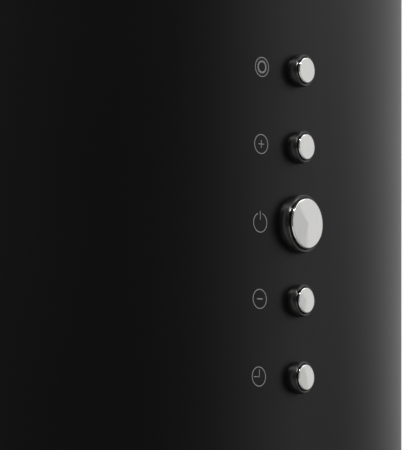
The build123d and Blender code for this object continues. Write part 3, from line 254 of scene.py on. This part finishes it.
def vary_roughness(tree, shader, source, output, low, high):
    span = node(tree, "ShaderNodeMapRange", {"To Min": low, "To Max": high})
    link(tree, source, output, span, "Value")
    link(tree, span, "Result", shader, "Roughness")


def bump(tree, shader, source, output, strength, distance):
    made = node(tree, "ShaderNodeBump", {"Strength": strength, "Distance": distance})
    link(tree, source, output, made, "Height")
    link(tree, made, "Normal", shader, "Normal")


# ---- materials ----
def matte_black_paint():
    """Powder coat: nearly smooth, with a fine grain and slow changes of sheen."""
    made, tree, shader = material("matte_black_paint")
    grain = noise(tree, 1400, 2)
    slow = noise(tree, 9, 3)
    shader.inputs["Specular IOR Level"].default_value = 0.425
    vary_colour(tree, shader, grain, "Fac", (0.0027, 0.0027, 0.0028), (0.0033, 0.0033, 0.0034))
    vary_roughness(tree, shader, slow, "Fac", 0.40, 0.46)
    bump(tree, shader, grain, "Fac", 0.03, 0.0002)
    return made


def satin_metal():
    """The finish of the caps' slot."""
    made, tree, shader = material("satin_metal")
    shader.inputs["Metallic"].default_value = 1.0
    grain = noise(tree, 3000, 2)
    vary_colour(tree, shader, grain, "Fac", (0.63, 0.625, 0.61), (0.67, 0.665, 0.65))
    vary_roughness(tree, shader, grain, "Fac", 0.17, 0.21)
    bump(tree, shader, grain, "Fac", 0.02, 0.00005)
    return made


def cap_metal():
    """The button caps' steel: polished, with fine upright lines."""
    made, tree, shader = material("cap_metal")
    shader.inputs["Metallic"].default_value = 1.0
    shader.inputs["Roughness"].default_value = CAP_ROUGHNESS
    lines = noise(tree, 2600, 3, stretch=(1, 1, 0.06))
    vary_colour(tree, shader, lines, "Fac", (0.645, 0.640, 0.625), (0.675, 0.670, 0.655))
    bump(tree, shader, lines, "Fac", 0.015, 0.00003)
    return made


def gloss_black():
    """The collars' moulded black, blurred enough to draw no outline of what it reflects."""
    made, tree, shader = material("gloss_black")
    slow = noise(tree, 300, 2)
    shader.inputs["Specular IOR Level"].default_value = 0.75
    vary_colour(tree, shader, slow, "Fac", (0.006, 0.006, 0.006), (0.009, 0.009, 0.009))
    vary_roughness(tree, shader, slow, "Fac", 0.26, 0.30)
    return made


def sign_grey():
    """Printed ink."""
    made, tree, shader = material("sign_grey")
    grain = noise(tree, 2500, 2)
    vary_colour(tree, shader, grain, "Fac", (0.29, 0.29, 0.285), (0.36, 0.36, 0.355))
    vary_roughness(tree, shader, grain, "Fac", 0.5, 0.6)
    return made


def sheet_metal(name, dark, light, rough):
    """Plated or rolled sheet with fine lines along one direction."""
    made, tree, shader = material(name)
    shader.inputs["Metallic"].default_value = 1.0
    lines = noise(tree, 90, 4, stretch=LINE_STRETCH)
    cloud = noise(tree, 45, 3)
    span = ROUGHNESS_SPAN["sheet"]
    vary_colour(tree, shader, cloud, "Fac", dark, light)
    vary_roughness(tree, shader, lines, "Fac", rough - span, rough + span)
    bump(tree, shader, lines, "Fac", 0.05, 0.0001)
    return made


def moulded(name, dark, light, rough):
    """Moulded plastic or rubber with a fine spark grain."""
    made, tree, shader = material(name)
    grain = noise(tree, MOULD_GRAIN, 3)
    slow = noise(tree, 30, 2)
    span = ROUGHNESS_SPAN["mould"]
    vary_colour(tree, shader, slow, "Fac", dark, light)
    vary_roughness(tree, shader, grain, "Fac", rough - span, rough + span)
    bump(tree, shader, grain, "Fac", 0.08, 0.0002)
    return made


MATERIALS = {
    "matte_black": matte_black_paint(),
    "gloss_black": gloss_black(),
    "satin_metal": satin_metal(),
    "galvanised": sheet_metal("galvanised", (0.52, 0.53, 0.54), (0.66, 0.67, 0.68), 0.36),
    "zinc_steel": sheet_metal("zinc_steel", (0.50, 0.50, 0.49), (0.60, 0.60, 0.58), 0.30),
    "filter_aluminium": sheet_metal("filter_aluminium", (0.66, 0.66, 0.67), (0.76, 0.76, 0.77), 0.30),
    "motor_metal": sheet_metal("motor_metal", (0.48, 0.48, 0.48), (0.58, 0.58, 0.58), 0.42),
    "black_plastic": moulded("black_plastic", (0.018, 0.018, 0.018), (0.024, 0.024, 0.024), 0.45),
    "grey_plastic": moulded("grey_plastic", (0.10, 0.105, 0.11), (0.13, 0.135, 0.14), 0.48),
    "white_plastic": moulded("white_plastic", (0.70, 0.70, 0.68), (0.76, 0.76, 0.74), 0.40),
    "rubber": moulded("rubber", (0.02, 0.02, 0.02), (0.03, 0.03, 0.03), 0.70),
    "circuit_board": moulded("circuit_board", (0.012, 0.12, 0.045), (0.018, 0.16, 0.06), 0.38),
    "lamp_lens": moulded("lamp_lens", (0.80, 0.80, 0.78), (0.86, 0.86, 0.84), 0.35),
}
CAP_METAL = cap_metal()
SIGN_GREY = sign_grey()


def paint(obj, made):
    obj.data.materials.clear()
    obj.data.materials.append(made)


for subpart in frame["record"]["subparts"]:
    paint(NODES[subpart["node"]], MATERIALS[subpart["material_slot"]])


# ---- turned caps and collars ----
def quarter(centre_r, centre_out, size, steps=8):
    """A rounded outer corner, from the front face round to the side."""
    turns = [pi / 2 * i / steps for i in range(steps + 1)]
    return [(centre_r + size * sin(t), centre_out + size * cos(t)) for t in turns]


def turned(button, profile, closed, place=None, steps=96):
    """A body turned round a button's axis; a profile point is (radius, distance from the cover).

    A point on the axis is one corner, so the faces round it are triangles.
    """
    verts, rings = [], []
    for radius, out in profile:
        ring = []
        for i in range(steps if radius > 0 else 1):
            x = radius * sin(2 * pi * i / steps)
            z = radius * cos(2 * pi * i / steps)
            depth = place(x, out) if place else out
            ring.append(len(verts))
            verts.append((x, COVER_LOW.y - depth, BUTTON_Z[button] + z))
        rings.append(ring)
    faces = []
    pairs = list(zip(rings, rings[1:])) + ([(rings[-1], rings[0])] if closed else [])
    for first, second in pairs:
        for i in range(steps):
            j = (i + 1) % steps
            near = [first[i % len(first)], first[j % len(first)]]
            far = [second[j % len(second)], second[i % len(second)]]
            faces.append(tuple(dict.fromkeys(near + far)))
    return verts, faces


def turned_piece(name, bodies):
    """One piece of several turned bodies, with its corners kept sharp."""
    verts, faces = [], []
    for more_verts, more_faces in bodies:
        base = len(verts)
        verts.extend(more_verts)
        faces.extend(tuple(base + corner for corner in face) for face in more_faces)
    made = mesh_object(name, verts, faces)
    made.data.set_sharp_from_angle(angle=CREASE_ANGLE)
    return made


def cap_body(button):
    """Turned cup: a shallow cone of a face, a rounded polished edge and a straight side."""
    low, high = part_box("cap_" + button)
    radius = (high.x - low.x) / 2
    apex = COVER_LOW.y - low.y - CAP_SINK[button]
    skirt = COVER_LOW.y - high.y
    top = apex - CAP_RISE[button]
    edge = CAP_EDGE[button]
    face_r = radius - edge
    slope = CAP_RISE[button] / face_r
    return turned(
        button,
        [
            (0, apex - slope * CAP_TIP / 2),
            (CAP_TIP, apex - slope * CAP_TIP),
            (face_r - CREASE, top + slope * CREASE),
            *quarter(face_r, top - edge, edge),
            (radius, top - edge - CREASE),
            (radius, skirt),
            (radius - CAP_WALL, skirt),
            (radius - CAP_WALL, top - CAP_TOP),
            (0, top - CAP_TOP),
        ],
        closed=False,
    )


def collar_body(button, node_name):
    """Bush through the cover, tapering to a rounded front edge and seated on the cover's curve."""
    low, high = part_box("cap_" + button)
    bore = (high.x - low.x) / 2 + CAP_GAP
    front_r = bore + COLLAR_WALL[button]
    base_r = front_r + COLLAR_TAPER
    barrel_r = bore + BARREL_WALL[button]
    low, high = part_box(node_name)
    front = COVER_LOW.y - low.y - COLLAR_SINK
    back = COVER_LOW.y - high.y
    under = -1  # stands for the cover's surface, which seat works out

    def seat(x, out):
        return (HOOD_R**2 - x**2) ** 0.5 - HOOD_R if out == under else out

    return turned(
        button,
        [
            (bore, front - COLLAR_LIP),
            (bore, -COLLAR_FLOOR),
            (STEM_HOLE_R, -COLLAR_FLOOR),
            (STEM_HOLE_R, back),
            (barrel_r, back),
            (barrel_r, under),
            (base_r, under),
            (base_r, COLLAR_STEP),
            (front_r + CREASE, front - COLLAR_EDGE - CREASE),
            *reversed(quarter(front_r - COLLAR_EDGE, front - COLLAR_EDGE, COLLAR_EDGE)),
            (bore + COLLAR_LIP, front),
        ],
        closed=True,
        place=seat,
    )


CAPS = []
for name in BUTTONS:
    cap = turned_piece("button_cap_" + name, [cap_body(name)])
    CAPS.append(cap)
    paint(cap, CAP_METAL)
    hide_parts("cap_" + name)
    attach(cap, "button_" + name)
for node_name, names in COLLARS.items():
    collar = turned_piece("turned_" + node_name, [collar_body(name, node_name) for name in names])
    paint(collar, MATERIALS["gloss_black"])
    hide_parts(node_name)
    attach(collar, "hood")


# ---- return springs ----
def coil_spring(button, steps=28, sides=8):
    """One unbroken wire from the switch to the stem's stop, with a closed turn at each end."""
    low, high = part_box("button_springs")
    coil_r = (high.x - low.x) / 2 - SPRING_WIRE / 2
    length = high.y - low.y - SPRING_WIRE
    closed = CLOSED_PITCH * SPRING_WIRE
    pitch = (length - 2 * closed) / (SPRING_TURNS - 2)
    verts, faces = [], []
    for i in range(SPRING_TURNS * steps + 1):
        turn = i / steps
        middle_turns = min(max(turn - 1, 0), SPRING_TURNS - 2)
        y = high.y - SPRING_WIRE / 2 - closed * (turn - middle_turns) - pitch * middle_turns
        for side in range(sides):
            across = 2 * pi * side / sides
            radius = coil_r + SPRING_WIRE / 2 * cos(across)
            x, z = radius * sin(2 * pi * turn), radius * cos(2 * pi * turn)
            verts.append((x, y + SPRING_WIRE / 2 * sin(across), BUTTON_Z[button] + z))
    rings = len(verts) // sides
    for i in range(rings - 1):
        for side in range(sides):
            a, b = i * sides + side, i * sides + (side + 1) % sides
            faces.append((a, b, b + sides, a + sides))
    faces.append(tuple(range(sides)))
    faces.append(tuple(range((rings - 1) * sides, rings * sides)))
    return verts, faces


for name in BUTTONS:
    spring = mesh_object("button_spring_" + name, *coil_spring(name))
    paint(spring, MATERIALS["zinc_steel"])
    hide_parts("button_springs")
    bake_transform(spring)


# ---- signs ----
# Each is a list of strokes for ink().
RING = (circle(SIGN_RADIUS), SIGN_LINE, True)
LEVEL_BAR = [(-STROKE_HALF, 0), (STROKE_HALF, 0)]
UPRIGHT_BAR = [(0, -STROKE_HALF), (0, STROKE_HALF)]


def light_sign():
    rays = []
    for number in range(LAMP_RAYS):
        angle = 360 / LAMP_RAYS * number
        ray = [arc(radius, angle, angle, 1)[0] for radius in LAMP_RAY_ENDS]
        rays.append((ray, LAMP_RAY_WIDTH, False))
    return [RING, (circle(LAMP_R), SIGN_BOLD, True), *rays]


def plus_sign():
    return [RING, (LEVEL_BAR, SIGN_LINE, False), (UPRIGHT_BAR, SIGN_LINE, False)]


def power_sign():
    open_ring = arc(SIGN_RADIUS, POWER_GAP, 360 - POWER_GAP, 60)
    bar = [(0, end) for end in POWER_BAR_ENDS]
    return [(open_ring, SIGN_LINE, False), (bar, SIGN_LINE, False)]


def minus_sign():
    return [RING, (LEVEL_BAR, SIGN_BOLD, False)]


def timer_sign():
    across, up = TIMER_CORNER
    hands = [(-TIMER_HAND, up), (across, up), (across, TIMER_HAND)]
    return [RING, (hands, SIGN_LINE, False)]


SIGNS = {
    "light": light_sign(),
    "plus": plus_sign(),
    "power": power_sign(),
    "minus": minus_sign(),
    "timer": timer_sign(),
}
for name in BUTTONS:
    sign = mesh_object("sign_" + name, *ink(SIGNS[name], name), smooth=False)
    paint(sign, SIGN_GREY)
    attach(sign, "hood")


# ---- studio ----
# What shiny surfaces see round the hood: columns of five panels each, from the ground to the top.
# A column starts at an azimuth, in degrees to the right of the hood's front, and ends at the next.
# Its radiances are those of its panels from the lowest up, and LEVELS are the panels' elevations.
LEVELS = [-89, -13, -3, 12, 40, 89]
COLUMNS = [
    (-95, (0.30, 0.00, 0.00, 0.00, 0.00)),
    (-60, (0.28, 0.00, 0.00, 0.00, 0.00)),
    (-30, (0.00, 0.00, 0.00, 0.00, 0.00)),
    (-10, (0.00, 0.00, 0.00, 0.00, 0.00)),
    (31, (0.30, 0.00, 0.41, 0.00, 1.80)),
    (45, (0.30, 0.72, 0.72, 1.60, 1.80)),
    (51.8, (0.00, 0.92, 0.92, 1.60, 1.80)),
    (60, (0.30, 0.00, 0.00, 0.58, 1.80)),
    (75, (0.00, 0.00, 0.44, 1.45, 0.00)),
    (95, (0.30, 0.00, 0.87, 0.00, 0.00)),
]
LAST_COLUMN_END = 165
COLUMN_DISTANCE = 3.0
# The power cap's face shows one edge of a column, which leans, as a line across it.
LEANING_EDGE = 51.8
LEAN_LEVEL = 3.76  # the elevation at which the edge is at its own azimuth
LEAN_REACH = 14.0  # it is upright again this far above and below that
LEAN = -0.405  # degrees of azimuth for each degree of elevation
# Patches, from azimuth to azimuth and from elevation to elevation.
KEY = (-56, -46, 48, 58)
KEY_RADIANCE = 100.0
CAP_FILL = (-30, 31, -80, 40)
CAP_LOW_FILL = (-95, -30, -60, -12)
CAP_FILL_RADIANCE = 0.6
CAP_GLINT = (-5, 50, 24, 65)
CAP_GLINT_RADIANCE = 1.6
KEY_DISTANCE, FILL_DISTANCE, GLINT_DISTANCE = 2.8, 2.6, 2.5
CARD_RISES = 6  # rows of faces in a card
CARD_STEPS = 24  # faces in a row
FLOOR_HALF = 40.0
FLOOR_Z = -0.32
FLOOR_GREY = 0.82
FLOOR_ROUGHNESS = 0.8
DAYLIGHT = (0.98, 0.99, 1.0, 1)
DAYLIGHT_STRENGTH = 0.8


def add_floor():
    corners = [(-1, -1), (1, -1), (1, 1), (-1, 1)]
    verts = [(FLOOR_HALF * x, FLOOR_HALF * y, FLOOR_Z) for x, y in corners]
    floor = mesh_object("floor", verts, [(0, 1, 2, 3)])
    made, tree, shader = material("floor_white")
    shader.inputs["Base Color"].default_value = (FLOOR_GREY, FLOOR_GREY, FLOOR_GREY, 1)
    shader.inputs["Roughness"].default_value = FLOOR_ROUGHNESS
    paint(floor, made)
    floor.visible_glossy = False


def elevations(low, high):
    return [low + (high - low) * i / CARD_RISES for i in range(CARD_RISES + 1)]


def patch(left, right, low, high):
    """The rows of a card between two azimuths and two elevations."""
    return [(elevation, left, right) for elevation in elevations(low, high)]


def edge_at(azimuth, elevation):
    """The azimuth of a column's edge at an elevation."""
    if azimuth != LEANING_EDGE:
        return azimuth
    rise = max(-LEAN_REACH, min(LEAN_REACH, elevation - LEAN_LEVEL))
    return azimuth + LEAN * rise


def card(name, rows, radiance, distance, only=None):
    """A curved card that only reflections see; a row is (elevation, left, right) in degrees.

    With a list of pieces, it is clear, and shines on those pieces alone.
    """
    centre = Vector((0, AXIS_Y - HOOD_R, BUTTON_Z["power"]))
    verts, faces = [], []
    for elevation, left, right in rows:
        up = radians(elevation)
        for i in range(CARD_STEPS + 1):
            turn = radians(left + (right - left) * i / CARD_STEPS)
            direction = Vector((sin(turn) * cos(up), -cos(turn) * cos(up), sin(up)))
            verts.append(centre + direction * distance)
    for row in range(len(rows) - 1):
        for i in range(CARD_STEPS):
            a = row * (CARD_STEPS + 1) + i
            faces.append((a, a + 1, a + CARD_STEPS + 2, a + CARD_STEPS + 1))
    obj = mesh_object(name, verts, faces)
    made = bpy.data.materials.new(name)
    made.use_nodes = True
    tree = made.node_tree
    tree.nodes.clear()
    light = {"Color": (radiance, radiance, radiance, 1), "Strength": 1.0}
    glow = node(tree, "ShaderNodeEmission", light)
    out = node(tree, "ShaderNodeOutputMaterial")
    if only:
        clear = node(tree, "ShaderNodeBsdfTransparent")
        both = node(tree, "ShaderNodeAddShader")
        link(tree, glow, "Emission", both, 0)
        link(tree, clear, "BSDF", both, 1)
        link(tree, both, "Shader", out, "Surface")
        obj.light_linking.receiver_collection = bpy.data.collections.new(name + "_receivers")
        for piece in only:
            obj.light_linking.receiver_collection.objects.link(piece)
    else:
        link(tree, glow, "Emission", out, "Surface")
    paint(obj, made)
    obj.visible_camera = False
    obj.visible_diffuse = False
    obj.visible_shadow = False


def add_cards():
    """The columns, the key light high on the left, and what brightens the caps alone."""
    ends = [left for left, _ in COLUMNS[1:]] + [LAST_COLUMN_END]
    for number, (left, radiances) in enumerate(COLUMNS):
        for panel, radiance in enumerate(radiances):
            rise = elevations(LEVELS[panel], LEVELS[panel + 1])
            rows = [(e, edge_at(left, e), edge_at(ends[number], e)) for e in rise]
            card(f"column_{number}_{panel}", rows, radiance, COLUMN_DISTANCE)
    card("key", patch(*KEY), KEY_RADIANCE, KEY_DISTANCE)
    card("cap_fill", patch(*CAP_FILL), CAP_FILL_RADIANCE, FILL_DISTANCE, only=CAPS)
    card("cap_low_fill", patch(*CAP_LOW_FILL), CAP_FILL_RADIANCE, FILL_DISTANCE, only=CAPS)
    card("cap_glint", patch(*CAP_GLINT), CAP_GLINT_RADIANCE, GLINT_DISTANCE, only=CAPS)


def add_world():
    """Even daylight; the camera, mirrors and glass see a white background."""
    world = bpy.data.worlds.new("studio")
    bpy.context.scene.world = world
    world.use_nodes = True
    world.cycles.sampling_method = "NONE"
    tree = world.node_tree
    tree.nodes.clear()
    path = node(tree, "ShaderNodeLightPath")
    shown = node(tree, "ShaderNodeMath", operation="MAXIMUM")
    link(tree, path, "Is Camera Ray", shown, 0)
    link(tree, path, "Is Glossy Ray", shown, 1)
    through = node(tree, "ShaderNodeMath", operation="MAXIMUM")
    link(tree, shown, "Value", through, 0)
    link(tree, path, "Is Transmission Ray", through, 1)
    daylight = {"Color": DAYLIGHT, "Strength": DAYLIGHT_STRENGTH}
    light = node(tree, "ShaderNodeBackground", daylight)
    white = node(tree, "ShaderNodeBackground", {"Color": (1, 1, 1, 1), "Strength": 1.0})
    mix = node(tree, "ShaderNodeMixShader")
    out = node(tree, "ShaderNodeOutputWorld")
    link(tree, through, "Value", mix, "Fac")
    link(tree, light, "Background", mix, 1)
    link(tree, white, "Background", mix, 2)
    link(tree, mix, "Shader", out, "Surface")


def add_camera():
    """The camera where the photograph was taken from."""
    across = CAMERA_AZIMUTH + CAMERA_YAW
    forward = Vector(
        (-sin(across) * cos(CAMERA_PITCH), cos(across) * cos(CAMERA_PITCH), sin(CAMERA_PITCH))
    )
    level = Vector((cos(across), sin(across), 0))
    up = level.cross(forward)
    right = level * cos(CAMERA_ROLL) - up * sin(CAMERA_ROLL)
    top = level * sin(CAMERA_ROLL) + up * cos(CAMERA_ROLL)
    place = Vector(
        (
            CAMERA_DISTANCE * sin(CAMERA_AZIMUTH),
            AXIS_Y - CAMERA_DISTANCE * cos(CAMERA_AZIMUTH),
            BUTTON_Z["power"] - CAMERA_BELOW,
        )
    )
    data = bpy.data.cameras.new("camera")
    data.sensor_fit = "AUTO"
    data.sensor_width = SENSOR
    data.lens = FOCAL_PIXELS * SENSOR / PHOTO_HEIGHT
    data.clip_start = CLIP_START
    data.clip_end = CLIP_END
    camera = bpy.data.objects.new("camera", data)
    turn = Matrix((right, top, -forward)).transposed()
    camera.matrix_world = Matrix.Translation(place) @ turn.to_4x4()
    bpy.context.scene.collection.objects.link(camera)
    bpy.context.scene.camera = camera


add_floor()
add_cards()
add_world()
add_camera()
bpy.context.scene.view_settings.view_transform = "Standard"
